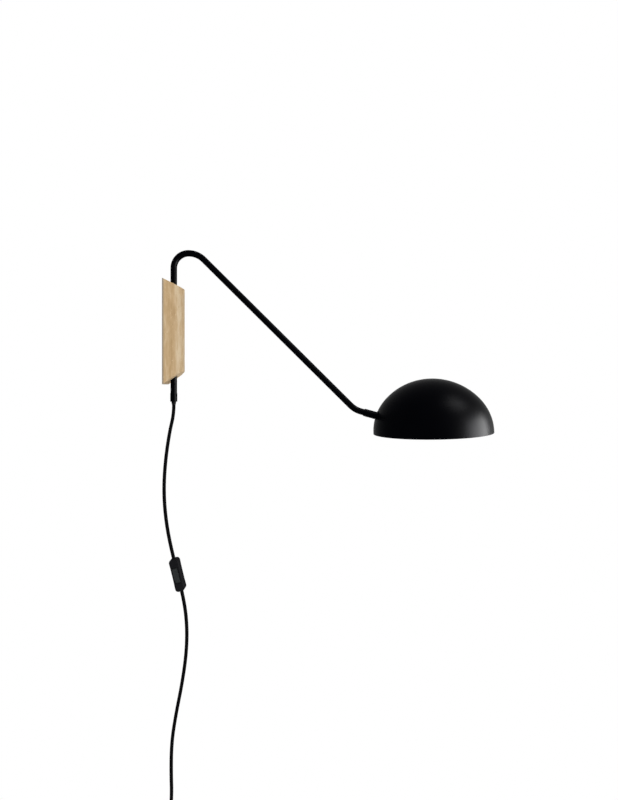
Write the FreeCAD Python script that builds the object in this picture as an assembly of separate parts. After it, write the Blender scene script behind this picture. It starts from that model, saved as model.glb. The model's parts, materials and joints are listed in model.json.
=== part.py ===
import FreeCAD, Part
import math
import os

# Plug-in swing-arm wall lamp: a wooden bracket on the wall, a bent tube arm that turns in it, a dome
# shade on the arm's free end, and a textile cord with a switch. Millimetres. The wall is the plane
# X = 0, +X points out of the wall along the arm, +Z is up. The origin is on the wall, in the middle
# of the bracket's back.

# Bracket block
bracket_width = 40.0
bracket_depth = 36.0
bracket_height = 198.0
upper_bevel = 26.0
lower_bevel = 35.0
bracket_edge_round = 1.2

# Wall plate and hanger plate, let into the bracket's back
plate_thickness = 2.0
wall_plate_width = 17.0
wall_plate_below = 70.0
wall_plate_step = 50.0
tongue_height = 20.0
tongue_gap = 0.2
recess_side_gap = 0.5
recess_depth = 6.0
recess_half_height = 80.0
wall_hole_radius = 2.3
wall_hole_spacing = 70.0
hanger_plate_width = 30.0
hanger_screw_radius = 1.6
hanger_screw_head = 3.0
hanger_screw_length = 14.0

# Arm tube
tube_diameter = 12.0
tube_wall = 1.2
hook_top = 150.0
hook_rise_radius = 28.0
hook_fall_radius = 41.0
arm_slope = 44.8
arm_run = 405.0
elbow_radius = 45.0
end_slope = 15.5
end_run = 42.0
tube_bottom = -130.0

# Bushes, washer and stop collar that carry the tube in the block
bush_wall = 0.95
bush_running_gap = 0.05
bush_length = 26.0
bush_inset = 0.3
stop_collar_radius = 10.0
stop_collar_height = 10.0
stop_collar_screw_radius = 2.0
thrust_washer_thickness = 1.5
pocket_gap = 0.5
pocket_floor = -8.0

# Lower end of the tube
ferrule_wall = 0.5
ferrule_height = 16.0
ferrule_floor = 1.6
grip_neck_radius = 4.0
grip_head_height = 6.0
grip_top_radius = 4.6
grip_tip_radius = 3.5
grip_length = 6.0
lead_diameter = 5.5

# Shade collar, nipple and nut on the arm's free end
collar_diameter = 14.4
collar_length = 24.0
collar_grip = 13.0
collar_screw_radius = 1.5
nipple_radius = 5.0
nipple_bore = 3.2
nipple_inside = 16.0
swivel_gap = 0.08
seat_radius = 9.0
seat_depth = 3.0
washer_thickness = 1.0
nut_flats = 14.0
nut_height = 3.5

# Shade
shade_radius = 110.0
shade_height = 100.2
shoulder_radius = 92.0
shade_wall = 1.2
rim_drop = 2.5
hem_width = 2.6
hem_height = 2.6
seat_height = 33.5
seat_proud = 0.5
shade_tilt = 2.3

# Lampholder, along the nipple's axis
holder_radius = 14.0
cap_wall = 1.1
cap_floor = 3.0
cap_length = 23.0
cap_overlap = 6.0
sleeve_length = 27.0
sleeve_wall = 1.4
insulator_thickness = 8.0
shoulder_width = 2.0
screw_shell_radius = 7.0
screw_shell_wall = 0.5
screw_shell_length = 15.5
contact_radius = 1.3
contact_height = 0.4
contact_root = 5.0
terminal_height = 4.0
terminal_width = 5.7
terminal_depth = 6.0
terminal_gap = 0.8
core_radius = 0.9
core_offset = 1.8

# Cord
cord_diameter = 6.5

# Route of the cord's upper stretch, from the tube's end to the switch
upper_route = [
    (16.0, 0.0, -137.6),
    (16.0, 0.0, -156.0),
    (10.2, -7.0, -188.0),
    (5.8, -17.0, -238.0),
    (4.8, -24.5, -288.0),
    (7.8, -26.5, -336.0),
    (14.4, -22.0, -389.0),
    (21.95, -20.0, -422.15),
]

# Route of the cord's lower stretch, from the switch to the coil
lower_route = [
    (36.25, -20.0, -480.85),
    (42.6, -19.0, -510.0),
    (46.0, -17.0, -556.0),
    (43.8, -15.5, -604.0),
    (35.4, -14.0, -660.0),
    (24.0, -12.5, -715.0),
    (15.6, -12.0, -768.0),
    (14.6, -12.5, -822.0),
    (17.0, -15.0, -874.0),
    (17.0, -42.0, -920.0),
    (17.0, -42.0, -946.0),
]

# Coil of the cord's spare length, in a plane parallel to the wall, wound in two layers
coil_centre = (17.0, 0.0, -955.0)
coil_outer_radius = 42.0
coil_pitch = 7.1
coil_layer_rise = 7.1
coil_turns_per_layer = 2.5
coil_lead = 9.0
tie_wall = 1.2
tie_width = 8.0
tie_gap = 0.4

# Route of the cord's tail, from the coil to the plug
tail_route = [
    (24.1, -42.0, -964.0),
    (24.1, -42.0, -984.0),
    (24.1, -35.0, -1008.0),
    (24.1, -35.0, -1030.0),
]

# Plug
plug_width = 35.0
plug_thickness = 13.6
plug_neck_width = 13.0
plug_shoulder = 14.0
plug_length = 35.0
plug_edge_round = 2.4
relief_length = 24.0
relief_root_radius = 5.4
relief_tip_radius = 3.7
pin_radius = 2.0
pin_length = 19.0
pin_pitch = 18.6

# In-line switch
switch_length = 60.4
switch_width = 18.2
switch_waist = 17.2
switch_thickness = 15.0
switch_corner = 6.0
switch_front_round = 2.4
switch_back_round = 1.6
switch_split = 1.0
switch_wall = 2.0
switch_room_width = 11.2
switch_room_length = 34.0
switch_channel_width = 6.6
switch_channel_length = 54.0
switch_hole_radius = 3.0
window_width = 10.0
window_length = 29.4
rocker_side_gap = 0.4
rocker_end_gap = 0.6
rocker_crown = 2.2
rocker_tilt = 8.0
pivot_depth = 3.2
pivot_radius = 1.2
pivot_gap = 0.06
pivot_length = 13.2
switch_lead_radius = 1.0
switch_lead_offset = 1.8
switch_lead_setback = 0.4
terminal_block = 5.0
blade_thickness = 0.6
blade_reach = 8.0
switch_screw_radius = 1.1
switch_screw_head = 2.1
switch_screw_x = 5.4
switch_screw_z = 21.5


def vec(x, y, z):
    return FreeCAD.Vector(x, y, z)


tube_radius = tube_diameter / 2
cord_radius = cord_diameter / 2
lead_radius = lead_diameter / 2
bore_axis = bracket_depth - bracket_width / 2
bush_bore = tube_radius + bush_running_gap
bore_radius = bush_bore + bush_wall
ferrule_bottom = tube_bottom - ferrule_floor
grip_bottom = ferrule_bottom - grip_length

arm_dir = vec(math.cos(math.radians(arm_slope)), 0, -math.sin(math.radians(arm_slope)))
end_dir = vec(math.cos(math.radians(end_slope)), 0, -math.sin(math.radians(end_slope)))
hook_end = vec(
    bore_axis + hook_rise_radius + hook_fall_radius * -arm_dir.z,
    0,
    hook_top - hook_fall_radius * (1 - arm_dir.x),
)
elbow = hook_end + arm_dir * arm_run
seat_point = elbow + end_dir * end_run

crown_radius = (
    (shade_radius - shoulder_radius) ** 2 + shade_height**2 - shoulder_radius**2
) / (2 * (shade_height - shoulder_radius))


def cylinder(radius, low, high, x=0.0, y=0.0):
    return Part.makeCylinder(radius, high - low, vec(x, y, low))


def ring(outer, inner, low, high, x=0.0, y=0.0):
    return cylinder(outer, low, high, x, y).cut(cylinder(inner, low - 1, high + 1, x, y))


def box(low, high):
    size = high - low
    return Part.makeBox(size.x, size.y, size.z, low)


def cone(low_radius, high_radius, low, high, x=0.0, y=0.0):
    return Part.makeCone(low_radius, high_radius, high - low, vec(x, y, low))


def polygon(points):
    return Part.Face(Part.makePolygon(points + points[:1]))


def on_arm_end(shape):
    """Local +Z runs along the arm's end into the shade, from the shade's seat; local +X is down."""
    placed = shape.copy()
    turn = FreeCAD.Rotation(vec(0, 0, 1), end_dir)
    placed.Placement = FreeCAD.Placement(seat_point, turn).multiply(placed.Placement)
    return placed


def corner_arc(before, corner, after, reach):
    """Arc tangent to both runs of a corner, and its radius."""
    into = (corner - before).normalize()
    out = (after - corner).normalize()
    start = corner - into * reach
    end = corner + out * reach
    middle = (start + end) * 0.5
    cosine = (start - middle).Length / reach
    through = middle + (corner - middle) * (cosine / (1 + cosine))
    turn = into.getAngle(out)
    return Part.Arc(start, through, end), start, end, reach / math.tan(turn / 2)


def rounded_path(points, name, reaches=None):
    """Straight runs joined by tangent arcs; each arc takes 0.45 of its shorter run by default."""
    corners = [vec(*p) for p in points]
    edges = []
    radii = []
    here = corners[0]
    for i in range(1, len(corners) - 1):
        runs = ((corners[i] - corners[i - 1]).Length, (corners[i + 1] - corners[i]).Length)
        reach = reaches[i - 1] if reaches else 0.45 * min(runs)
        arc, start, end, radius = corner_arc(corners[i - 1], corners[i], corners[i + 1], reach)
        edges.append(Part.LineSegment(here, start).toShape())
        edges.append(arc.toShape())
        radii.append(radius)
        here = end
    edges.append(Part.LineSegment(here, corners[-1]).toShape())
    print(name, "radii", [round(r) for r in radii])
    return Part.Wire(edges)


def rod_along(path, radius, name):
    """Round solid along a path, with its volume printed beside section times length."""
    first = path.Edges[0]
    start = first.valueAt(first.FirstParameter)
    tangent = first.tangentAt(first.FirstParameter)
    section = Part.Wire(Part.makeCircle(radius, start, tangent))
    rod = path.makePipeShell([section], True, False)
    plain = math.pi * radius**2 * path.Length
    print(name, "length %.1f volume/plain %.4f" % (path.Length, rod.Volume / plain))
    return rod


# Bracket


def bevel_prism(inset):
    """Side outline of the block, drawn in by inset at its slanted ends, much wider than the block."""
    upper = math.radians(upper_bevel)
    lower = math.radians(lower_bevel)
    high = bracket_height / 2 - inset / math.cos(upper)
    low = inset / math.cos(lower) - bracket_height / 2
    points = [
        vec(0, -bracket_width, low),
        vec(bracket_depth, -bracket_width, low + bracket_depth * math.tan(lower)),
        vec(bracket_depth, -bracket_width, high - bracket_depth * math.tan(upper)),
        vec(0, -bracket_width, high),
    ]
    return polygon(points).extrude(vec(0, 2 * bracket_width, 0))


def bracket_outside():
    half = bracket_width / 2
    low = -bracket_height / 2
    corners = [vec(bore_axis, half, low), vec(0, half, low), vec(0, -half, low), vec(bore_axis, -half, low)]
    edges = [Part.LineSegment(a, b).toShape() for a, b in zip(corners, corners[1:])]
    edges.append(Part.Arc(corners[3], vec(bracket_depth, 0, low), corners[0]).toShape())
    bar = Part.Face(Part.Wire(edges)).extrude(vec(0, 0, bracket_height))
    block = bar.common(bevel_prism(0))
    ends = [e for e in block.Edges if is_end_edge(e)]
    return block.makeFillet(bracket_edge_round, ends)


def is_end_edge(edge):
    """Edges round the two slanted ends, apart from those that lie on the wall."""
    box_of = edge.BoundBox
    on_wall = box_of.XMax < 0.01
    upright = box_of.ZLength > bracket_height / 2
    return not on_wall and not upright


def pocket():
    """Room behind the bore for the stop collar and the washer under it."""
    high = pocket_floor + thrust_washer_thickness + stop_collar_height + pocket_gap
    reach = bore_axis + stop_collar_radius + pocket_gap
    half = stop_collar_radius + pocket_gap
    return box(vec(0, -half, pocket_floor), vec(reach, half, high))


def hanger_screw_places():
    z = (wall_plate_step + plate_thickness + recess_half_height) / 2
    y = (hanger_plate_width + wall_plate_width) / 4
    return [(-y, z), (y, z)]


def along_x(radius, low, high, y, z):
    return Part.makeCylinder(radius, high - low, vec(low, y, z), vec(1, 0, 0))


def bracket_block():
    half = wall_plate_width / 2 + recess_side_gap
    deep = box(vec(0, -half, -recess_half_height), vec(recess_depth, half, recess_half_height))
    seat_low = wall_plate_step + plate_thickness
    side = hanger_plate_width / 2
    seat = box(vec(0, -side, seat_low), vec(plate_thickness, side, recess_half_height))
    bore = cylinder(bore_radius, -bracket_height, bracket_height, bore_axis)
    block = bracket_outside().cut(deep).cut(seat).cut(pocket()).cut(bore)
    for y, z in hanger_screw_places():
        block = block.cut(along_x(hanger_screw_radius, 0, hanger_screw_length, y, z))
    return block


def wall_plate():
    """Flat bar on the wall, stepped forward at its top into a tongue that the hanger plate sits on."""
    back = plate_thickness + tongue_gap
    step = wall_plate_step + plate_thickness
    outline = [
        (0, -wall_plate_below),
        (0, step),
        (back, step),
        (back, wall_plate_step + tongue_height),
        (back + plate_thickness, wall_plate_step + tongue_height),
        (back + plate_thickness, wall_plate_step),
        (plate_thickness, wall_plate_step),
        (plate_thickness, -wall_plate_below),
    ]
    side = wall_plate_width / 2
    plate = polygon([vec(x, -side, z) for x, z in outline]).extrude(vec(0, wall_plate_width, 0))
    for z in (-wall_hole_spacing / 2, wall_hole_spacing / 2):
        plate = plate.cut(along_x(wall_hole_radius, -1, plate_thickness + 1, 0, z))
    return plate


def hanger_screw_shape(y, z):
    head = Part.makeCone(
        hanger_screw_head, hanger_screw_radius, plate_thickness, vec(0, y, z), vec(1, 0, 0)
    )
    return head.fuse(along_x(hanger_screw_radius, 0, hanger_screw_length, y, z)).removeSplitter()


def hanger_plate():
    side = hanger_plate_width / 2
    low = wall_plate_step + plate_thickness
    plate = box(vec(0, -side, low), vec(plate_thickness, side, recess_half_height))
    for y, z in hanger_screw_places():
        plate = plate.cut(hanger_screw_shape(y, z))
    return plate


def hanger_screws():
    return Part.makeCompound([hanger_screw_shape(y, z) for y, z in hanger_screw_places()])


def bush(upper):
    """Sleeve pressed into one end of the bore, its outer end cut on the block's bevel."""
    bevel = upper_bevel if upper else lower_bevel
    edge = bracket_height / 2 - bore_axis * math.tan(math.radians(bevel))
    low = edge - bush_length
    sleeve = ring(bore_radius, bush_bore, low, bracket_height, bore_axis)
    if not upper:
        sleeve = ring(bore_radius, bush_bore, -bracket_height, -low, bore_axis)
    return sleeve.common(bevel_prism(bush_inset))


def thrust_washer():
    high = pocket_floor + thrust_washer_thickness
    return ring(stop_collar_radius, tube_radius + 2 * bush_running_gap, pocket_floor, high, bore_axis)


def stop_collar():
    low = pocket_floor + thrust_washer_thickness
    collar = ring(stop_collar_radius, tube_radius, low, low + stop_collar_height, bore_axis)
    return collar.cut(stop_collar_screw())


def stop_collar_screw():
    z = pocket_floor + thrust_washer_thickness + stop_collar_height / 2
    flush = bore_axis - stop_collar_radius + 0.5
    return along_x(stop_collar_screw_radius, flush, bore_axis, 0, z).cut(
        cylinder(tube_radius, z - stop_collar_height, z + stop_collar_height, bore_axis)
    )


# Arm


def arm_path(start, end, name):
    """Centreline of the arm from a height in the block to a place along the shade's nipple."""
    first = vec(bore_axis, 0, start)
    top_left = vec(bore_axis, 0, hook_top)
    half_arm = math.tan(math.radians(arm_slope / 2))
    top_right = vec(bore_axis + hook_rise_radius + hook_fall_radius * half_arm, 0, hook_top)
    last = seat_point + end_dir * end
    points = [first, top_left, top_right, elbow, last]
    half_elbow = math.tan(math.radians((arm_slope - end_slope) / 2))
    reaches = [hook_rise_radius, hook_fall_radius * half_arm, elbow_radius * half_elbow]
    return hook_path([tuple(p) for p in points], reaches, name)


def hook_path(points, reaches, name):
    """The hook's two arcs meet at its top with no straight between them."""
    corners = [vec(*p) for p in points]
    edges = []
    here = corners[0]
    for i, reach in enumerate(reaches, start=1):
        arc, start, end, radius = corner_arc(corners[i - 1], corners[i], corners[i + 1], reach)
        if (start - here).Length > 0.001:
            edges.append(Part.LineSegment(here, start).toShape())
        edges.append(arc.toShape())
        print(name, "bend radius %.1f" % radius)
        here = end
    edges.append(Part.LineSegment(here, corners[-1]).toShape())
    return Part.Wire(edges)


def arm_tube():
    path = arm_path(tube_bottom, collar_grip - collar_length, "arm tube")
    outside = rod_along(path, tube_radius, "arm tube outside")
    inside = rod_along(path, tube_radius - tube_wall, "arm tube inside")
    return outside.cut(inside)


def end_ferrule():
    outer = tube_radius + ferrule_wall
    high = ferrule_bottom + ferrule_height
    cup = cylinder(outer, ferrule_bottom, high, bore_axis)
    cup = cup.cut(cylinder(tube_radius, tube_bottom, high + 1, bore_axis))
    return cup.cut(cylinder(grip_neck_radius, ferrule_bottom - 1, tube_bottom + 1, bore_axis))


def cord_grip():
    """Rubber grip round the lead: a head inside the tube, a neck in the ferrule, a tapered nose."""
    neck = cylinder(grip_neck_radius, ferrule_bottom, tube_bottom + grip_head_height, bore_axis)
    nose = cone(grip_tip_radius, grip_top_radius, grip_bottom, ferrule_bottom, bore_axis)
    low = grip_bottom - 1
    bore = cylinder(lead_radius, low, tube_bottom + grip_head_height + 1, bore_axis)
    return neck.fuse(nose).removeSplitter().cut(bore)


def lead_end():
    return nipple_inside + 4.0


def inner_lead():
    return rod_along(arm_path(grip_bottom, lead_end(), "inner lead"), lead_radius, "inner lead")


# Shade joint


def shade_collar():
    tube_end = collar_grip - collar_length
    body = cylinder(collar_diameter / 2, -collar_length, 0)
    body = body.cut(cylinder(tube_radius, -collar_length - 1, tube_end))
    body = body.cut(cylinder(nipple_radius, tube_end - 1, 1))
    return on_arm_end(body.cut(collar_screw_local()))


def collar_screw_local():
    z = collar_grip / 2 - collar_length
    screw = Part.makeCylinder(collar_screw_radius, collar_diameter / 2 + 0.4, vec(0, 0, z), vec(1, 0, 0))
    return screw.cut(cylinder(tube_radius, -2 * collar_length, 0))


def nipple():
    tube_end = collar_grip - collar_length
    return on_arm_end(ring(nipple_radius, nipple_bore, tube_end, nipple_inside))


def swivel_washer():
    return on_arm_end(ring(seat_radius, nipple_radius, seat_depth, seat_depth + washer_thickness))


def lock_nut():
    low = seat_depth + washer_thickness
    corner = nut_flats / math.sqrt(3)
    angles = [math.radians(60 * i) for i in range(6)]
    points = [vec(corner * math.cos(a), corner * math.sin(a), low) for a in angles]
    nut = polygon(points).extrude(vec(0, 0, nut_height))
    return on_arm_end(nut.cut(cylinder(nipple_radius, low - 1, low + nut_height + 1)))


# Shade


def dome_arcs(inset):
    """Crown and shoulder arcs of the dome's outline, from the top to the widest level."""
    crown_centre = vec(0, 0, shade_height - crown_radius)
    shoulder_centre = vec(shade_radius - shoulder_radius, 0, 0)
    join = (shoulder_centre - crown_centre).normalize()
    join_angle = math.atan2(join.z, join.x)

    def on(centre, radius, angle):
        return centre + vec(math.cos(angle), 0, math.sin(angle)) * (radius - inset)

    top = on(crown_centre, crown_radius, math.pi / 2)
    crown_middle = on(crown_centre, crown_radius, (math.pi / 2 + join_angle) / 2)
    joint = on(crown_centre, crown_radius, join_angle)
    shoulder_middle = on(shoulder_centre, shoulder_radius, join_angle / 2)
    side = on(shoulder_centre, shoulder_radius, 0)
    crown = Part.Arc(top, crown_middle, joint).toShape()
    shoulder = Part.Arc(joint, shoulder_middle, side).toShape()
    return top, crown, shoulder, side


def dome():
    top_out, crown_out, shoulder_out, side_out = dome_arcs(0)
    top_in, crown_in, shoulder_in, side_in = dome_arcs(shade_wall)
    rim = [
        side_out,
        vec(shade_radius, 0, -rim_drop),
        vec(shade_radius - hem_width, 0, -rim_drop),
        vec(shade_radius - hem_width, 0, hem_height - rim_drop),
        side_in,
    ]
    edges = [crown_out, shoulder_out]
    edges += [Part.LineSegment(a, b).toShape() for a, b in zip(rim, rim[1:])]
    edges += [shoulder_in, crown_in, Part.LineSegment(top_in, top_out).toShape()]
    outline = Part.Face(Part.Wire(Part.__sortEdges__(edges)))
    return outline.revolve(vec(0, 0, 0), vec(0, 0, 1), 360)


def shade():
    """The dome, tilted and placed by its seat, with the flat seat and the nipple's hole in it."""
    out = math.sqrt(shoulder_radius**2 - seat_height**2) + shade_radius - shoulder_radius
    tilt = FreeCAD.Rotation(vec(0, -1, 0), shade_tilt)
    surface = seat_point + end_dir * seat_proud
    body = dome()
    body.Placement = FreeCAD.Placement(surface - tilt.multVec(vec(-out, 0, seat_height)), tilt)
    body = body.fuse(on_arm_end(cylinder(seat_radius, 0, seat_depth)))
    return body.cut(on_arm_end(cylinder(nipple_radius + swivel_gap, -5, seat_depth + 5)))


# Lampholder


def holder_start():
    return seat_depth + washer_thickness + nut_height


def cap_end():
    return holder_start() + cap_length


def insulator_end():
    return cap_end() + insulator_thickness


def lampholder_cap():
    start = holder_start()
    cup = cylinder(holder_radius, start, cap_end())
    cup = cup.cut(cylinder(holder_radius - cap_wall, start + cap_floor, cap_end() + 1))
    return on_arm_end(cup.cut(cylinder(nipple_radius, start - 1, start + cap_floor + 1)))


def lampholder_sleeve():
    """Outer sleeve: a spigot inside the cap, and a shoulder that the insulator bears on."""
    end = cap_end() + sleeve_length
    spigot = cylinder(holder_radius - cap_wall, cap_end() - cap_overlap, cap_end())
    body = spigot.fuse(cylinder(holder_radius, cap_end(), end)).removeSplitter()
    inner = holder_radius - cap_wall - sleeve_wall
    body = body.cut(cylinder(inner, cap_end() - cap_overlap - 1, insulator_end()))
    return on_arm_end(body.cut(cylinder(inner - shoulder_width, insulator_end() - 1, end + 1)))


def lampholder_insulator():
    disc = cylinder(holder_radius - cap_wall - sleeve_wall, cap_end(), insulator_end())
    root = cylinder(contact_radius, insulator_end() - contact_root, insulator_end() + 1)
    return on_arm_end(disc.cut(root))


def screw_shell():
    low = insulator_end()
    outer = screw_shell_radius + screw_shell_wall
    cup = cylinder(outer, low, low + screw_shell_length + screw_shell_wall)
    cup = cup.cut(cylinder(screw_shell_radius, low + screw_shell_wall, low + 2 * screw_shell_length))
    return on_arm_end(cup.cut(cylinder(3 * contact_radius, low - 1, low + 1)))


def centre_contact():
    low = insulator_end() - contact_root
    return on_arm_end(cylinder(contact_radius, low, insulator_end() + contact_height))


def lampholder_terminals():
    blocks = []
    for side in (-1, 1):
        near = side * terminal_gap
        far = side * (terminal_gap + terminal_width)
        low = vec(-terminal_depth / 2, min(near, far), cap_end() - terminal_height)
        high = vec(terminal_depth / 2, max(near, far), cap_end())
        blocks.append(on_arm_end(box(low, high)))
    return Part.makeCompound(blocks)


def lead_cores():
    high = cap_end() - terminal_height
    cores = [cylinder(core_radius, lead_end(), high, 0, side * core_offset) for side in (-1, 1)]
    return Part.makeCompound([on_arm_end(core) for core in cores])


# Cord


def cord_stretch(route, name):
    return rod_along(rounded_path(route, name), cord_radius, name)


def coil_point(angle):
    """A steady spiral in and out again; the layer changes in the half turn at the turning place."""
    turning = 2 * math.pi * coil_turns_per_layer
    inward = coil_pitch * min(angle, 2 * turning - angle) / (2 * math.pi)
    radius = coil_outer_radius - inward
    share = min(1.0, max(0.0, (angle - turning) / math.pi + 0.5))
    layer = coil_layer_rise * share * share * (3 - 2 * share)
    return vec(*coil_centre) + vec(layer, -radius * math.cos(angle), -radius * math.sin(angle))


def coil_tangent(angle):
    step = 0.001
    end = 4 * math.pi * coil_turns_per_layer
    if angle < step:
        return vec(0, 0, -1)
    if angle > end - step:
        return vec(0, 0, -1)
    return (coil_point(angle + step) - coil_point(angle - step)).normalize()


def biarc(start, start_dir, end, end_dir_):
    """Two arcs that join two points with given directions."""
    chord = end - start
    both = start_dir + end_dir_
    lean = chord.dot(both)
    spread = 2 * (1 - start_dir.dot(end_dir_))
    reach = (math.sqrt(lean**2 + spread * chord.dot(chord)) - lean) / spread
    first_corner = start + start_dir * reach
    last_corner = end - end_dir_ * reach
    middle = (first_corner + last_corner) * 0.5
    arcs = []
    for a, corner, b in ((start, first_corner, middle), (middle, last_corner, end)):
        half = (a + b) * 0.5
        cosine = (a - half).Length / (corner - a).Length
        arcs.append(Part.Arc(a, half + (corner - half) * (cosine / (1 + cosine)), b).toShape())
    return arcs


def cord_coil():
    quarters = round(8 * coil_turns_per_layer)
    angles = [i * math.pi / 2 for i in range(quarters + 1)]
    places = [coil_point(a) for a in angles]
    ways = [coil_tangent(a) for a in angles]
    lead = vec(0, 0, coil_lead)
    edges = [Part.LineSegment(places[0] + lead, places[0]).toShape()]
    for i in range(quarters):
        edges += biarc(places[i], ways[i], places[i + 1], ways[i + 1])
    edges.append(Part.LineSegment(places[-1], places[-1] - lead).toShape())
    print("coil least radius %.1f" % min(e.Curve.Radius for e in edges[1:-1]))
    path = Part.Wire(edges)
    print("coil least gap %.2f" % least_gap(path))
    return rod_along(path, cord_radius, "cord coil")


def least_gap(path):
    """Least free space between two places of the coiled cord that aren't neighbours along it."""
    step = cord_diameter / 3
    points = path.discretize(Number=int(path.Length / step))
    skip = int(6 * cord_diameter / step)
    least = min(
        (points[j] - points[i]).Length
        for i in range(len(points) - skip)
        for j in range(i + skip, len(points))
    )
    return least - cord_diameter


def coil_tie():
    """Band round the coil's bundle at its top."""
    centre = vec(*coil_centre)
    turn_in = coil_pitch * coil_turns_per_layer
    low = centre.z + coil_outer_radius - turn_in - cord_radius - tie_gap
    high = centre.z + coil_outer_radius + cord_radius
    back = centre.x - cord_radius - tie_gap
    front = centre.x + coil_layer_rise + cord_radius + tie_gap
    half = tie_width / 2
    inside = box(vec(back, -tie_width, low), vec(front, tie_width, high))
    outside = box(
        vec(back - tie_wall, -half, low - tie_wall), vec(front + tie_wall, half, high + tie_wall)
    )
    long_edges = [e for e in outside.Edges if abs(e.tangentAt(e.FirstParameter).y) > 0.9]
    return outside.makeFillet(tie_wall, long_edges).cut(inside)


# Plug


def plug_body():
    """Moulded flat body with its tapered strain relief, hanging below the cord's tail."""
    top = tail_route[-1]
    neck = top[2] - relief_length
    wide = plug_width / 2
    narrow = plug_neck_width / 2
    outline = [
        (-narrow, neck),
        (narrow, neck),
        (wide, neck - plug_shoulder),
        (wide, neck - plug_length),
        (-wide, neck - plug_length),
        (-wide, neck - plug_shoulder),
    ]
    back = top[0] - plug_thickness / 2
    body = polygon([vec(back, top[1] + y, z) for y, z in outline]).extrude(vec(plug_thickness, 0, 0))
    body = body.makeFillet(plug_edge_round, body.Edges)
    relief = cone(
        relief_root_radius, relief_tip_radius, neck - plug_edge_round, top[2], top[0], top[1]
    )
    return body.fuse(relief).removeSplitter()


def plug_pins():
    top = tail_route[-1]
    high = top[2] - relief_length - plug_length
    pins = []
    for side in (-1, 1):
        y = top[1] + side * pin_pitch / 2
        pin = cylinder(pin_radius, high - pin_length, high, top[0], y)
        tip = [e for e in pin.Edges if e.BoundBox.ZMax < high - pin_length + 0.01]
        pins.append(pin.makeFillet(pin_radius * 0.6, tip[:1]))
    return Part.makeCompound(pins)


# Switch, built upright in its own frame: Z along the cord, the rocker faces -Y


def on_cord(shape):
    """Places a switch piece between the cord's two stretches."""
    top = vec(*upper_route[-1])
    bottom = vec(*lower_route[0])
    placed = shape.copy()
    turn = FreeCAD.Rotation(vec(0, 0, 1), top - bottom)
    placed.Placement = FreeCAD.Placement((top + bottom) * 0.5, turn).multiply(placed.Placement)
    return placed


def switch_outside():
    end = switch_length / 2
    side = switch_width / 2
    back = switch_thickness / 2
    right_low = vec(side, back, -end)
    right_high = vec(side, back, end)
    left_high = vec(-side, back, end)
    left_low = vec(-side, back, -end)
    edges = [
        Part.Arc(right_low, vec(switch_waist / 2, back, 0), right_high).toShape(),
        Part.LineSegment(right_high, left_high).toShape(),
        Part.Arc(left_high, vec(-switch_waist / 2, back, 0), left_low).toShape(),
        Part.LineSegment(left_low, right_low).toShape(),
    ]
    body = Part.Face(Part.Wire(edges)).extrude(vec(0, -switch_thickness, 0))
    corners = [e for e in body.Edges if e.BoundBox.YLength > switch_thickness / 2]
    body = body.makeFillet(switch_corner, corners)
    front = [e for e in body.Edges if e.BoundBox.YMax < 0.01 - back]
    body = body.makeFillet(switch_front_round, front)
    rear = [e for e in body.Edges if e.BoundBox.YMin > back - 0.01]
    return body.makeFillet(switch_back_round, rear)


def switch_room():
    """Hollow inside the switch, with the cord's way in at each end."""
    front = switch_wall - switch_thickness / 2
    back = switch_thickness / 2 - switch_wall
    wide = switch_room_width / 2
    tall = switch_room_length / 2
    room = box(vec(-wide, front, -tall), vec(wide, back, tall))
    wide = switch_channel_width / 2
    tall = switch_channel_length / 2
    channel = box(vec(-wide, front, -tall), vec(wide, back, tall))
    way = cylinder(switch_hole_radius, -switch_length, switch_length)
    return room.fuse(channel).fuse(way)


def split_half(front):
    half = switch_thickness
    if front:
        return box(vec(-half, -half, -switch_length), vec(half, switch_split, switch_length))
    return box(vec(-half, switch_split, -switch_length), vec(half, half, switch_length))


def switch_screw_shape(side):
    """Screw from the back shell into the front shell."""
    back = switch_thickness / 2
    start = vec(side * switch_screw_x, back, side * switch_screw_z)
    shank = Part.makeCylinder(switch_screw_radius, back + 3.0, start, vec(0, -1, 0))
    head = Part.makeCylinder(switch_screw_head, 1.4, start - vec(0, 0.6, 0), vec(0, -1, 0))
    shank = shank.cut(box(start + vec(-3, -0.6, -3), start + vec(3, 1, 3)))
    return head.fuse(shank).removeSplitter()


def screw_sink(side):
    start = vec(side * switch_screw_x, switch_thickness / 2 + 1, side * switch_screw_z)
    return Part.makeCylinder(switch_screw_head, 2.0, start, vec(0, -1, 0))


def pivot_pin(radius, length):
    y = pivot_depth - switch_thickness / 2
    return Part.makeCylinder(radius, length, vec(-length / 2, y, 0), vec(1, 0, 0))


def switch_front_shell():
    shell = switch_outside().cut(switch_room()).common(split_half(True))
    wide = window_width / 2
    tall = window_length / 2
    shell = shell.cut(box(vec(-wide, -switch_thickness, -tall), vec(wide, 0, tall)))
    shell = shell.cut(pivot_pin(pivot_radius + pivot_gap, pivot_length + 0.6))
    for side in (-1, 1):
        shell = shell.cut(switch_screw_shape(side))
    return on_cord(shell)


def switch_back_shell():
    shell = switch_outside().cut(switch_room()).common(split_half(False))
    for side in (-1, 1):
        shell = shell.cut(switch_screw_shape(side)).cut(screw_sink(side))
    return on_cord(shell)


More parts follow.
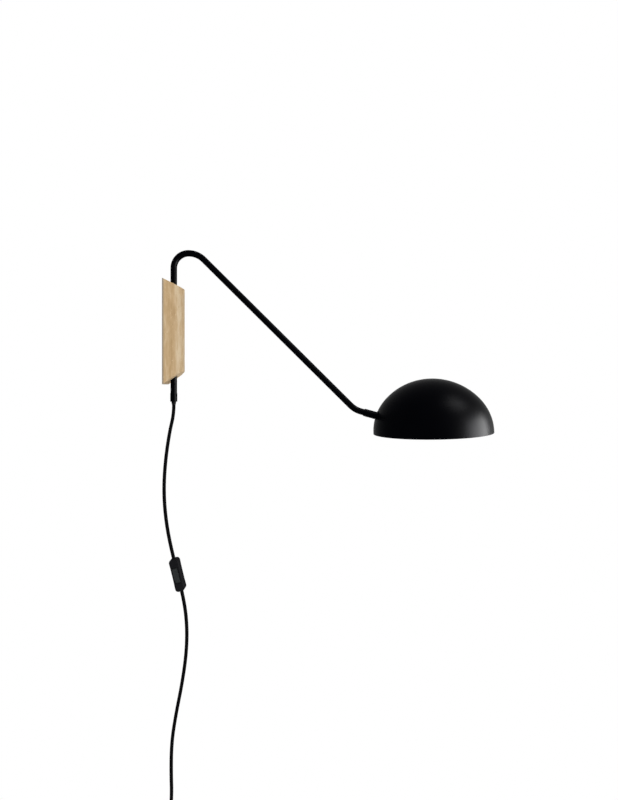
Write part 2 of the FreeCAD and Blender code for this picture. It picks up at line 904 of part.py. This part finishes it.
def switch_rocker():
    """Rocker with a crowned face and its pivot pin, pressed in at its lower end."""
    half = window_length / 2 - rocker_end_gap
    side = window_width / 2 - rocker_side_gap
    face = -switch_thickness / 2
    pivot = pivot_depth + face
    left = vec(-side, face, -half)
    right = vec(-side, face, half)
    edges = [
        Part.Arc(left, vec(-side, face - rocker_crown, 0), right).toShape(),
        Part.LineSegment(right, vec(-side, pivot, half)).toShape(),
        Part.LineSegment(vec(-side, pivot, half), vec(-side, pivot, -half)).toShape(),
        Part.LineSegment(vec(-side, pivot, -half), left).toShape(),
    ]
    rocker = Part.Face(Part.Wire(edges)).extrude(vec(2 * side, 0, 0))
    rocker = rocker.fuse(pivot_pin(pivot_radius, pivot_length))
    rocker.rotate(vec(0, pivot, 0), vec(1, 0, 0), rocker_tilt)
    return on_cord(rocker)


def switch_contacts():
    """Two brass blocks on the back shell's floor, each with a blade under the rocker."""
    floor = switch_thickness / 2 - switch_wall
    near = switch_room_length / 2 - terminal_block
    pieces = []
    for side in (-1, 1):
        ends = sorted((side * near, side * (near + terminal_block)))
        reach = sorted((side * near, side * (near - blade_reach)))
        left = -terminal_block
        right = switch_lead_offset - switch_lead_radius - 0.4
        block = box(vec(left, -switch_lead_radius, ends[0]), vec(right, floor, ends[1]))
        blade = box(
            vec(left, -switch_lead_radius, reach[0]),
            vec(right, blade_thickness - switch_lead_radius, reach[1]),
        )
        pieces.append(on_cord(block.fuse(blade).removeSplitter()))
    return Part.makeCompound(pieces)


def switch_leads():
    """The cord's two cores inside the switch: one runs through, the other ends at the contacts."""
    end = switch_length / 2 - switch_lead_setback
    near = switch_room_length / 2
    through = cylinder(switch_lead_radius, -end, end, switch_lead_offset)
    low = cylinder(switch_lead_radius, -end, -near, -switch_lead_offset)
    high = cylinder(switch_lead_radius, near, end, -switch_lead_offset)
    return Part.makeCompound([on_cord(piece) for piece in (through, low, high)])


def switch_screws():
    return Part.makeCompound([on_cord(switch_screw_shape(side)) for side in (-1, 1)])


def save(name, shape):
    if not shape.isValid():
        print("not valid:", name)
    shape.exportStep("parts/" + name + ".step")
    print("%-22s solids %d volume %.1f" % (name, len(shape.Solids), shape.Volume))


def main():
    os.makedirs("parts", exist_ok=True)
    save("bracket_block", bracket_block())
    save("wall_plate", wall_plate())
    save("hanger_plate", hanger_plate())
    save("hanger_screws", hanger_screws())
    save("upper_bush", bush(True))
    save("lower_bush", bush(False))
    save("thrust_washer", thrust_washer())
    save("stop_collar", stop_collar())
    save("stop_collar_screw", stop_collar_screw())
    save("arm_tube", arm_tube())
    save("end_ferrule", end_ferrule())
    save("cord_grip", cord_grip())
    save("inner_lead", inner_lead())
    save("shade_collar", shade_collar())
    save("shade_collar_screw", on_arm_end(collar_screw_local()))
    save("nipple", nipple())
    save("swivel_washer", swivel_washer())
    save("lock_nut", lock_nut())
    save("shade", shade())
    save("lampholder_cap", lampholder_cap())
    save("lampholder_sleeve", lampholder_sleeve())
    save("lampholder_insulator", lampholder_insulator())
    save("screw_shell", screw_shell())
    save("centre_contact", centre_contact())
    save("lampholder_terminals", lampholder_terminals())
    save("lead_cores", lead_cores())
    save("cord_upper", cord_stretch(upper_route, "cord upper"))
    save("cord_lower", cord_stretch(lower_route, "cord lower"))
    save("cord_coil", cord_coil())
    save("coil_tie", coil_tie())
    save("cord_tail", cord_stretch(tail_route, "cord tail"))
    save("plug_body", plug_body())
    save("plug_pins", plug_pins())
    save("switch_front_shell", switch_front_shell())
    save("switch_back_shell", switch_back_shell())
    save("switch_rocker", switch_rocker())
    save("switch_contacts", switch_contacts())
    save("switch_leads", switch_leads())
    save("switch_screws", switch_screws())


main()
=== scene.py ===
# %% [markdown]
# # A wall lamp on a swinging arm
# A wooden block hangs on the wall. A bent black tube stands in it and turns, and a dome shade closes
# the tube's other end. A textile cord leaves the tube's foot and runs through a small switch. The
# frame already holds every rigid piece at its real size, so this lesson is about what the frame can't
# hold: the light, the cord, and the finish of every surface.

# %% The frame
import json
import math

import bmesh
import bpy
from mathutils import Matrix, Vector


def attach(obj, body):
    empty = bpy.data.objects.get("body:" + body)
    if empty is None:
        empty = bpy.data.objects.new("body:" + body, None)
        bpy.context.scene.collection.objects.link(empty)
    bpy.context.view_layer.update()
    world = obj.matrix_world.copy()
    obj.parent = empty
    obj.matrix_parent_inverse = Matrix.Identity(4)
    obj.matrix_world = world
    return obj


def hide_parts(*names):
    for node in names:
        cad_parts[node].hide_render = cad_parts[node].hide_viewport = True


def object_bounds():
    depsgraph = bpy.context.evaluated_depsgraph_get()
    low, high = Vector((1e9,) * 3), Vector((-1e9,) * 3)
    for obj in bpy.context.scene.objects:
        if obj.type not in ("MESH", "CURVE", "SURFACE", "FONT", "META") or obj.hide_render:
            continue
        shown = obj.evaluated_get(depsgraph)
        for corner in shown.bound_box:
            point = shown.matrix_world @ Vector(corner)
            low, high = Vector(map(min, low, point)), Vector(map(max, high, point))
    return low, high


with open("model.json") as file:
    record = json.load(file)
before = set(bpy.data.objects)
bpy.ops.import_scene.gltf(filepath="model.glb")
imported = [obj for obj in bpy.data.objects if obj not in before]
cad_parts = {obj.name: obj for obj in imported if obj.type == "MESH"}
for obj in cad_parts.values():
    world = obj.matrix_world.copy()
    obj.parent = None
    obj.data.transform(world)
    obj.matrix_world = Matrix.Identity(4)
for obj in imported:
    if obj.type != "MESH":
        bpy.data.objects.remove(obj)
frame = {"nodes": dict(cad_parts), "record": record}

nodes = frame["nodes"]
cad_box = [list(corner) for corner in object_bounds()]

# %% [markdown]
# ## The camera
# The lamp was photographed square from the side. A camera that isn't pitched keeps the block's edges
# upright, so its height is found with the lens shift and not by tilting it. A pixel of the 618 by 800
# picture, one metre away, is as wide as one metre over the focal length counted in pixels.

# %% Camera
IMAGE_HEIGHT = 800
FOCAL_PIXELS = 450
SENSOR_WIDTH = 36.0
HORIZON_ABOVE_MIDDLE = 14
CAMERA_PLACE = (0.2729, -0.855, -0.1021)

camera_data = bpy.data.cameras.new("side_camera")
camera_data.sensor_width = SENSOR_WIDTH
camera_data.lens = FOCAL_PIXELS * SENSOR_WIDTH / IMAGE_HEIGHT
camera_data.shift_y = -HORIZON_ABOVE_MIDDLE / IMAGE_HEIGHT
camera_data.clip_start = 0.01
camera = bpy.data.objects.new("side_camera", camera_data)
camera.location = CAMERA_PLACE
camera.rotation_euler = (math.radians(90), 0, 0)
bpy.context.scene.collection.objects.link(camera)
bpy.context.scene.camera = camera
bpy.context.scene.view_settings.view_transform = "Standard"
print("lens", round(camera_data.lens, 2), "mm")

# %% [markdown]
# ## Shader sums as Python
# A finish is mostly small sums: a mask times a depth, one noise added to another. Wiring Math nodes by
# hand hides the sum, so one class wraps a node's output and lets Python's operators add the nodes.
# Each node that isn't a sum comes from a single method, which sets the node's own settings before
# its sockets.

# %% A socket that can be added, scaled and mixed
class Wire:
    """One output of a shader node."""

    def __init__(self, tree, socket=None):
        self.tree = tree
        self.socket = socket

    def node(self, kind, values=None, out=0, stops=None, **settings):
        """Adds a node: its settings, then its ramp's stops, then its sockets' values or links."""
        made = self.tree.nodes.new("ShaderNode" + kind)
        for name, value in settings.items():
            setattr(made, name, value)
        if stops:
            ramp = made.color_ramp
            while len(ramp.elements) < len(stops):
                ramp.elements.new(0.5)
            for element, (place, colour) in zip(ramp.elements, stops):
                element.position = place
                element.color = (*colour, 1)
        for name, value in (values or {}).items():
            if isinstance(value, Wire):
                self.tree.links.new(value.socket, made.inputs[name])
            elif isinstance(value, tuple) and made.inputs[name].type == "RGBA":
                made.inputs[name].default_value = (*value, 1)
            else:
                made.inputs[name].default_value = value
        return Wire(self.tree, made.outputs[out] if made.outputs else None)

    def sum(self, operation, first, second=0.0):
        return self.node("Math", {0: first, 1: second}, operation=operation)

    def __add__(self, other):
        return self.sum("ADD", self, other)

    def __radd__(self, other):
        return self.sum("ADD", other, self)

    def __sub__(self, other):
        return self.sum("SUBTRACT", self, other)

    def __rsub__(self, other):
        return self.sum("SUBTRACT", other, self)

    def __mul__(self, other):
        return self.sum("MULTIPLY", self, other)

    def __rmul__(self, other):
        return self.sum("MULTIPLY", other, self)

    def __pow__(self, other):
        return self.sum("POWER", self, other)

    def wave(self):
        return self.sum("COSINE", self)

    def rise(self, low, high):
        """0 below low, 1 above high, and smooth between."""
        values = {"Value": self, "From Min": low, "From Max": high}
        return self.node("MapRange", values, interpolation_type="SMOOTHSTEP")

    def mix(self, colour, other):
        """colour where the wire is 0, other where it is 1."""
        return self.node("Mix", {0: self, 6: colour, 7: other}, out=2, data_type="RGBA")

    def noise(self, size, detail=2.0, stretch=(1, 1, 1)):
        """Noise whose features are about size metres, drawn out along an axis by stretch."""
        scale = [1 / (size * s) for s in stretch]
        place = self.node("Mapping", {"Vector": self, "Scale": scale})
        return self.node("TexNoise", {"Vector": place, "Scale": 1.0, "Detail": detail})


# %% [markdown]
# ## One function that ends every finish
# Every opaque finish on the lamp ends in the same two nodes, a Principled shader and a Bump in front of
# it. What changes over a surface comes in as wires. What is the same all over, such as how much a
# surface mirrors, is written on the shader's own socket.

# %% Starting and ending a finish
def start(name):
    """A new material, and the wire of its object coordinates."""
    material = bpy.data.materials.new(name)
    material.use_nodes = True
    material.node_tree.nodes.clear()
    return material, Wire(material.node_tree).node("TexCoord", out="Object")


def end(material, colour, roughness, height=None, depth=0.0001, **others):
    base = Wire(material.node_tree)
    values = {"Base Color": colour, "Roughness": roughness}
    values.update({name.replace("_", " "): value for name, value in others.items()})
    if height is not None:
        values["Normal"] = base.node("Bump", {"Height": height, "Distance": depth})
    base.node("OutputMaterial", {"Surface": base.node("BsdfPrincipled", values)})
    print("finish", material.name, "has", len(material.node_tree.nodes), "nodes")
    return material


# %% [markdown]
# ## Light
# A cut-out product picture has a white surround with no edge to it. Here the world gives that white to
# whatever looks at it straight or in a reflection, and a plainer level to everything it lights, so the
# white costs the lamp no colour. Two softboxes, a key light and a back light, add a little shape and
# only shade the surfaces. Two bright cards to the right only show in reflections, as cards do beside
# black paint: the large one draws the pale side of the dome, and the small one a sheen above it. The
# power of all four is worked out from how much light should reach the lamp, so that moving one
# doesn't change the exposure.

# %% World, softboxes and cards
WORLD_LEVEL = 0.66
LAMP_MIDDLE = Vector((0.26, 0.0, -0.15))


def seen_directly(wire):
    """1 for rays from the camera, and for reflected and refracted ones; 0 for rays that carry light."""
    kinds = ("Is Camera Ray", "Is Glossy Ray", "Is Transmission Ray")
    camera_ray, glossy_ray, clear_ray = [wire.node("LightPath", out=kind) for kind in kinds]
    seen = camera_ray + glossy_ray + clear_ray
    return seen.sum("MINIMUM", seen, 1.0)


world = bpy.data.worlds.new("studio")
world.use_nodes = True
world.node_tree.nodes.clear()
sky = Wire(world.node_tree)
level = WORLD_LEVEL + (1 - WORLD_LEVEL) * seen_directly(sky)
sky.node("OutputWorld", {"Surface": sky.node("Background", {"Color": (1, 1, 1), "Strength": level})})
bpy.context.scene.world = world


def softbox(name, place, width, share, mirrored):
    """A square lamp facing the middle of the object; share is the light it adds to a facing surface."""
    away = Vector(place) - LAMP_MIDDLE
    data = bpy.data.lights.new(name, "AREA")
    data.size = width
    data.energy = share * math.pi**2 * away.length_squared
    lamp = bpy.data.objects.new(name, data)
    lamp.location = place
    lamp.rotation_euler = away.to_track_quat("Z", "Y").to_euler()
    lamp.visible_camera = False
    lamp.visible_glossy = mirrored
    lamp.visible_diffuse = not mirrored
    bpy.context.scene.collection.objects.link(lamp)
    print(name, round(data.energy, 1), "W")


softbox("key_softbox", (0.9, -2.0, 0.9), 1.2, 0.26, mirrored=False)
softbox("back_softbox", (-1.2, 2.2, 0.8), 1.2, 0.10, mirrored=False)
softbox("strip_card", (2.60, -0.45, -0.36), 1.9, 25.0, mirrored=True)
softbox("top_card", (1.70, -0.55, 1.70), 0.9, 2.0, mirrored=True)

# %% [markdown]
# ## Floor
# The lamp hangs above the floor, which only takes its soft shadow. Close to the lamp the floor is a
# real pale surface. Further out it turns into the white of the surround, over an oval as long as the
# lamp is, so no view finds an edge or a horizon.

# %% Floor
FLOOR_DROP = 0.045
FLOOR_REACH = 6.0
SHADOW_OVAL = (0.56, 0.27)
SHADOW_EDGE = (0.45, 1.0)

floor_mesh = bpy.data.meshes.new("floor")
bm = bmesh.new()
floor_place = Matrix.Translation((LAMP_MIDDLE.x, 0, cad_box[0][2] - FLOOR_DROP))
bmesh.ops.create_grid(bm, x_segments=1, y_segments=1, size=FLOOR_REACH, matrix=floor_place)
bm.to_mesh(floor_mesh)
bm.free()
floor = bpy.data.objects.new("floor", floor_mesh)
bpy.context.scene.collection.objects.link(floor)

floor_material, place = start("floor_paint")
centred = place.node("VectorMath", {0: place, 1: (-LAMP_MIDDLE.x, 0, -floor_place.translation.z)})
oval = place.node("VectorMath", {0: centred, 1: (*SHADOW_OVAL, 1)}, operation="DIVIDE")
distance = place.node("VectorMath", {0: oval}, out="Value", operation="LENGTH")
white = distance.rise(*SHADOW_EDGE) * seen_directly(place)
speckle = place.noise(0.004).rise(0.3, 0.7).mix((0.90, 0.90, 0.89), (0.93, 0.93, 0.92))
pale = place.node("BsdfDiffuse", {"Color": speckle}, out="BSDF")
glow = place.node("Emission", {"Color": (1, 1, 1), "Strength": 1.0})
both = place.node("MixShader", {0: white, 1: pale, 2: glow})
place.node("OutputMaterial", {"Surface": both})
floor.data.materials.append(floor_material)
print("floor at", round(floor_place.translation.z, 3))

# %% [markdown]
# ## The cord's line
# A textile cord is limp, but it keeps a memory of the coil it was sold in, so it leaves the tube
# straight and then wanders. Its line is one NURBS spline whose control points were listed one by one
# along the real cord. The spline's degree is set after its points are added, because set before, it
# stays straight between them. Asking Blender for the mesh of a curve without thickness gives the points
# of the smooth line.

# %% From control points to a smooth line
POINTS_PER_SPAN = 10


def smooth_line(name, route):
    """Points of the NURBS spline that a route's points control."""
    curve = bpy.data.curves.new(name, "CURVE")
    curve.dimensions = "3D"
    curve.resolution_u = POINTS_PER_SPAN
    spline = curve.splines.new("NURBS")
    spline.points.add(len(route) - 1)
    for point, place in zip(spline.points, route):
        point.co = (*place, 1)
    spline.order_u = 3
    spline.use_endpoint_u = True
    carrier = bpy.data.objects.new(name, curve)
    mesh = bpy.data.meshes.new_from_object(carrier)
    line = [vertex.co.copy() for vertex in mesh.vertices]
    bpy.data.meshes.remove(mesh)
    bpy.data.objects.remove(carrier)
    bpy.data.curves.remove(curve)
    return line


def line_length(line):
    return sum((b - a).length for a, b in zip(line, line[1:]))


# %% [markdown]
# ## Where the cord runs
# The cord has two free stretches. The upper one hangs from the rubber grip in the tube's foot to the
# switch. The lower one starts below the switch, drops in a slow S, and keeps its spare length in a
# small tied coil that lies outside the picture, from which the plug hangs. The coil is wound in two
# layers: the radius shrinks by a cord's width each turn, the cord steps over to the second layer, and
# the radius grows again.

# %% Routes
upper_route = [
    (0.0160, 0.0000, -0.1376),
    (0.0160, 0.0000, -0.1560),
    (0.0102, -0.0070, -0.1880),
    (0.0058, -0.0170, -0.2380),
    (0.0048, -0.0245, -0.2880),
    (0.0078, -0.0265, -0.3360),
    (0.0144, -0.0220, -0.3890),
    (0.02195, -0.0200, -0.42215),
]
lower_route = [
    (0.03625, -0.0200, -0.48085),
    (0.0426, -0.0190, -0.5100),
    (0.0460, -0.0170, -0.5560),
    (0.0438, -0.0155, -0.6040),
    (0.0354, -0.0140, -0.6600),
    (0.0240, -0.0125, -0.7150),
    (0.0156, -0.0120, -0.7680),
    (0.0146, -0.0125, -0.8220),
    (0.0170, -0.0150, -0.8740),
    (0.0170, -0.0420, -0.9200),
    (0.0170, -0.0420, -0.9460),
]
tail_route = [
    (0.0241, -0.0420, -0.9640),
    (0.0241, -0.0420, -0.9840),
    (0.0241, -0.0350, -1.0080),
    (0.0241, -0.0350, -1.0300),
]
COIL_CENTRE = Vector((0.0170, 0.0, -0.9550))
COIL_RADIUS = 0.042
COIL_PITCH = 0.0071
COIL_TURNS_PER_LAYER = 2.5
POINTS_PER_TURN = 16


def coil_point(angle):
    turning = 2 * math.pi * COIL_TURNS_PER_LAYER
    radius = COIL_RADIUS - COIL_PITCH * min(angle, 2 * turning - angle) / (2 * math.pi)
    share = min(1, max(0, (angle - turning) / math.pi + 0.5))
    layer = COIL_PITCH * share * share * (3 - 2 * share)
    return COIL_CENTRE + Vector((layer, -radius * math.cos(angle), -radius * math.sin(angle)))


steps = round(2 * COIL_TURNS_PER_LAYER * POINTS_PER_TURN)
coil_route = [coil_point(2 * math.pi * i / POINTS_PER_TURN) for i in range(steps + 1)]
upper_line = smooth_line("upper_line", upper_route)
lower_line = smooth_line("lower_line", lower_route + coil_route + tail_route)
print("cord", round(line_length(upper_line), 3), "m and", round(line_length(lower_line), 3), "m")

# %% [markdown]
# ## The braid
# Eight yarns wind one way round the cord and eight the other way, each over one and under the next. In
# the two slanted directions a yarn's back is a cosine hump, and the product of both cosines tells which
# yarn is on top. The same sum is used twice: in Python it moves the tube's vertices out and in about
# the cord's own thickness, so that the outline is bumpy, and in the material it paints the yarns' backs
# lighter and the gaps between them darker, as painted light and shade.

# %% Braid and tube
CORD_DIAMETER = 0.0065
YARNS = 8
YARN_CELL = 0.0034
YARN_RELIEF = 0.00028
YARN_BACK = 0.6
CROSSING = 0.4
MEAN_HEIGHT = 0.8
RING_STEP = 0.00085
WELD_DISTANCE = 0.00001
SIDES = 4 * YARNS


def braid_height(along, around):
    """0 in the gaps and 1 on a yarn's back; along in metres, around from 0 to 1."""
    first = math.cos(math.pi * (YARNS * around + along / YARN_CELL))
    second = math.cos(math.pi * (YARNS * around - along / YARN_CELL))
    over = first * second
    return max(abs(first) * (YARN_BACK + CROSSING * over), abs(second) * (YARN_BACK - CROSSING * over))


def rings_along(line, step):
    """Even places on a line, each with the line's direction and a side direction that never twists."""
    count = max(2, round(line_length(line) / step))
    stride = line_length(line) / count
    places = [line[0]]
    need = stride
    for a, b in zip(line, line[1:]):
        run = (b - a).length
        done = 0.0
        while run - done >= need and len(places) < count:
            done += need
            places.append(a.lerp(b, done / run))
            need = stride
        need -= run - done
    places.append(line[-1])
    ways = [(places[min(i + 1, count)] - places[max(i - 1, 0)]).normalized() for i in range(count + 1)]
    side = ways[0].orthogonal().normalized()
    rings = []
    for place, way in zip(places, ways):
        side = (side - way * side.dot(way)).normalized()
        rings.append((place, side, way.cross(side)))
    return rings, stride


def piece(name, bm, material, body):
    """A finished bmesh as an object that moves with a body."""
    mesh = bpy.data.meshes.new(name)
    bm.to_mesh(mesh)
    bm.free()
    made = bpy.data.objects.new(name, mesh)
    bpy.context.scene.collection.objects.link(made)
    mesh.materials.append(material)
    mesh.shade_smooth()
    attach(made, body)
    print(name, len(mesh.vertices), "vertices")
    return made


def braided_tube(name, line, material):
    """A grid bent round the line; its UV map has metres along and one turn around."""
    rings, stride = rings_along(line, RING_STEP)
    bm = bmesh.new()
    uv = bm.loops.layers.uv.new("UVMap")
    bmesh.ops.create_grid(bm, x_segments=len(rings) - 1, y_segments=SIDES, size=0.5)
    for face in bm.faces:
        for loop in face.loops:
            corner = loop.vert.co
            loop[uv].uv = ((corner.x + 0.5) * stride * (len(rings) - 1), corner.y + 0.5)
    for vertex in bm.verts:
        index = round((vertex.co.x + 0.5) * (len(rings) - 1))
        around = vertex.co.y + 0.5
        place, side, other = rings[index]
        relief = YARN_RELIEF * (braid_height(index * stride, around) - MEAN_HEIGHT)
        reach = CORD_DIAMETER / 2 + relief
        angle = 2 * math.pi * around
        vertex.co = place + (side * math.cos(angle) + other * math.sin(angle)) * reach
    bmesh.ops.remove_doubles(bm, verts=bm.verts, dist=WELD_DISTANCE)
    open_edges = [edge for edge in bm.edges if edge.is_boundary]
    bmesh.ops.holes_fill(bm, edges=open_edges, sides=0)
    bmesh.ops.recalc_face_normals(bm, faces=bm.faces)
    return piece(name, bm, material, "bracket")


# %% [markdown]
# ## Braided yarn
# The black cotton carries painted light and shade: a yarn's back is painted lighter, as a painted
# highlight, and the gap between two yarns darker, as painted shade, and every yarn has loose fibres.
# The material reads the UV map, which is in metres along the cord, so the yarns have their real size
# and follow every bend.

# %% Black textile
def black_textile():
    material, place = start("black_textile")
    uv = place.node("TexCoord", out="UV")
    along = uv.node("SeparateXYZ", {0: uv}, out="X") * (1 / YARN_CELL)
    around = uv.node("SeparateXYZ", {0: uv}, out="Y") * YARNS
    first = ((around + along) * math.pi).wave()
    second = ((around - along) * math.pi).wave()
    over = first * second
    left = first.sum("ABSOLUTE", first) * (YARN_BACK + CROSSING * over)
    right = second.sum("ABSOLUTE", second) * (YARN_BACK - CROSSING * over)
    height = left.sum("MAXIMUM", left, right)
    fibres = place.noise(0.00022, detail=4)
    # painted highlight on the yarn backs and painted shade in the gaps between yarns
    shade = (height * 0.7 + fibres * 0.5).rise(0.35, 1.0)
    colour = shade.mix((0.0010, 0.0010, 0.0014), (0.0048, 0.0048, 0.0056))
    bumps = height + fibres * 0.35
    rough = 0.78 + 0.15 * fibres
    return end(material, colour, rough, bumps, YARN_RELIEF * 0.4, Specular_IOR_Level=0.005)


yarn = black_textile()
cord_to_switch = braided_tube("cord_to_switch", upper_line, yarn)
cord_to_plug = braided_tube("cord_to_plug", lower_line, yarn)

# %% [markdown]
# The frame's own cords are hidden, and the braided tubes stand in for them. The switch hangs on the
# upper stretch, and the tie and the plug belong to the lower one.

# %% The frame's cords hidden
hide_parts("cord_upper")
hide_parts("cord_lower", "cord_coil", "cord_tail")

# %% [markdown]
# ## Oak
# The block is sawn along the tree, so its rings run as upright bands on the long faces and as arcs on
# the slanted ends. A solid pattern gives both for nothing: rings are the distance from an upright pith
# line that lies outside the block, bent a little by noise that is drawn out along the grain. One wide
# dark band of slow years lies in the middle of the side. Fine fibres, short pores and a few pale flecks
# lie on top. The rounded front is painted paler, as painted light falling on it. A grey band along the
# arris by the wall is painted shade from the wall. On the slanted ends the end grain is paler and evens
# out the bands.

# %% Oak
PITH = (0.046, 0.030)
DARK_BAND = 0.0555
BAND_WIDTH = 0.0150
RING_WIDTH = 0.0026


def oak():
    material, place = start("oak")
    bend = place.noise(0.010, detail=2, stretch=(1, 1, 5))
    x = place.node("SeparateXYZ", {0: place}, out="X") - PITH[0]
    y = place.node("SeparateXYZ", {0: place}, out="Y") - PITH[1]
    distance = (x * x + y * y) ** 0.5 + (bend - 0.5) * 0.010
    bands = ((distance - DARK_BAND) * (2 * math.pi / BAND_WIDTH)).wave() * 0.5 + 0.5
    # painted light: the wood turns paler towards the rounded front, where light falls on it
    painted_front_light = (x + PITH[0]).rise(0.012, 0.030)
    rings = (distance * (2 * math.pi / RING_WIDTH)).wave() * 0.5 + 0.5
    clouds = place.noise(0.007, detail=3, stretch=(1, 1, 4))
    fibres = place.noise(0.0006, detail=3, stretch=(1, 1, 30))
    pores = place.noise(0.00035, detail=1, stretch=(1, 1, 9)).rise(0.64, 0.72)
    flecks = place.noise(0.0024, detail=1, stretch=(1, 1, 1.8)).rise(0.68, 0.75)
    knots = place.noise(0.0045, detail=1, stretch=(1, 1, 2.5)).rise(0.70, 0.78)
    tone = 0.21 - bands * 0.19 + painted_front_light * 0.17 + clouds * 0.64 - rings * 0.08 + fibres * 0.26
    stops = [
        (0.20, (0.420, 0.265, 0.122)),
        (0.40, (0.525, 0.350, 0.180)),
        (0.60, (0.625, 0.440, 0.246)),
        (0.82, (0.745, 0.590, 0.385)),
    ]
    wood = tone.node("ValToRGB", {"Fac": tone}, out="Color", stops=stops)
    wood = (pores * 0.35).mix(wood, (0.36, 0.23, 0.12))
    wood = (knots * 0.40).mix(wood, (0.40, 0.25, 0.13))
    wood = (flecks * 0.45).mix(wood, (0.82, 0.69, 0.44))
    # painted shade: a grey band along the arris by the wall, where the wall shades it
    painted_wall_shade = 1 - (x + PITH[0]).rise(0.0012, 0.0042)
    wood = (painted_wall_shade * 0.75).mix(wood, (0.27, 0.26, 0.24))
    normal = place.node("TexCoord", out="Normal")
    upright = normal.node("SeparateXYZ", {0: normal}, out="Z")
    cut_end = upright.sum("ABSOLUTE", upright).rise(0.35, 0.7)
    wood = (cut_end * 0.40).mix(wood, (0.72, 0.55, 0.35))
    height = fibres * 0.6 - rings * 0.2 - pores
    rough = 0.52 + fibres * 0.16
    return end(material, wood, rough, height, 0.00010, Specular_IOR_Level=0.018)


# %% [markdown]
# ## Black paint
# The tube and the dome are powder coated and then smooth to the touch. Up close the paint still has a
# faint orange peel. It hardly mirrors head on, and much more at a grazing view, which is why the edge
# of the dome's crown picks up the white surround. That comes from the shader's own Fresnel term, so
# the specular level is one plain number.

# %% Black paint
def black_paint():
    material, place = start("black_paint")
    peel = place.noise(0.0016, detail=2)
    dust = place.noise(0.00045, detail=1)
    patches = place.noise(0.05, detail=2)
    colour = patches.mix((0.0003, 0.0004, 0.0010), (0.0008, 0.0009, 0.0017))
    rough = 0.30 + patches * 0.07 + dust * 0.05
    return end(material, colour, rough, peel + dust * 0.2, 0.000012, Specular_IOR_Level=0.0065)


# %% [markdown]
# ## Plastics and rubber
# The switch and the plug are moulded plastic with a fine spark-eroded grain, a shade greyer than the
# paint. One function makes them all: the grain's size and depth, the colour and how rough it is tell
# one plastic from the next.

# %% Moulded pieces
def moulded(name, colour, rough, grain, depth, specular=0.25):
    material, place = start(name)
    pits = place.noise(grain, detail=2)
    flow = place.noise(0.02, detail=2)
    darker = tuple(0.82 * part for part in colour)
    shade = (flow * 0.7 + pits * 0.3).mix(darker, colour)
    return end(material, shade, rough + pits * 0.1, pits, depth, Specular_IOR_Level=specular)


# %% [markdown]
# ## Metals
# Plated steel is brushed or drawn, so its roughness changes along fine streaks. The streaks are a
# noise that is drawn out along one axis. Brass and nickel only differ in colour and polish.

# %% Metals
def metal(name, colour, rough, stretch):
    material, place = start(name)
    streaks = place.noise(0.0003, detail=3, stretch=stretch)
    stains = place.noise(0.006, detail=3)
    darker = tuple(0.84 * part for part in colour)
    shade = (streaks * 0.5 + stains * 0.5).mix(darker, colour)
    roughness = rough + streaks * 0.14 + stains * 0.08
    return end(material, shade, roughness, streaks, 0.000015, Metallic=1.0)


# %% [markdown]
# ## A finish for every piece
# The record of the frame says which finish each piece has. Giving the finishes the same names lets a
# loop dress all of them, also those that only show when the lamp is taken apart.

# %% Finishes on the frame's pieces
SHELL_BLACK = (0.0125, 0.0125, 0.0145)
ROCKER_GREY = (0.034, 0.037, 0.038)
RUBBER_BLACK = (0.004, 0.004, 0.005)

finishes = {
    "oak": oak(),
    "black_paint": black_paint(),
    "black_textile": yarn,
    "black_plastic": moulded("black_plastic", SHELL_BLACK, 0.45, 0.0005, 0.00003, specular=0.0026),
    "rocker_plastic": moulded("rocker_plastic", ROCKER_GREY, 0.34, 0.0007, 0.00001, specular=0.013),
    "black_rubber": moulded("black_rubber", RUBBER_BLACK, 0.62, 0.0006, 0.00004, specular=0.013),
    "lead_pvc": moulded("lead_pvc", (0.05, 0.05, 0.05), 0.5, 0.0008, 0.00002),
    "nylon_white": moulded("nylon_white", (0.80, 0.79, 0.75), 0.45, 0.0006, 0.00002),
    "ceramic": moulded("ceramic", (0.88, 0.87, 0.83), 0.18, 0.0020, 0.00002, specular=0.5),
    "core_insulation": moulded("core_insulation", (0.35, 0.16, 0.06), 0.4, 0.0008, 0.00001),
    "zinc_steel": metal("zinc_steel", (0.62, 0.62, 0.60), 0.24, (1, 1, 18)),
    "nickel": metal("nickel", (0.75, 0.74, 0.71), 0.14, (12, 1, 1)),
    "brass": metal("brass", (0.78, 0.60, 0.32), 0.22, (12, 1, 1)),
}
for part in frame["record"]["subparts"]:
    dressed = nodes[part["node"]]
    dressed.data.materials.clear()
    dressed.data.materials.append(finishes[part["material_slot"]])
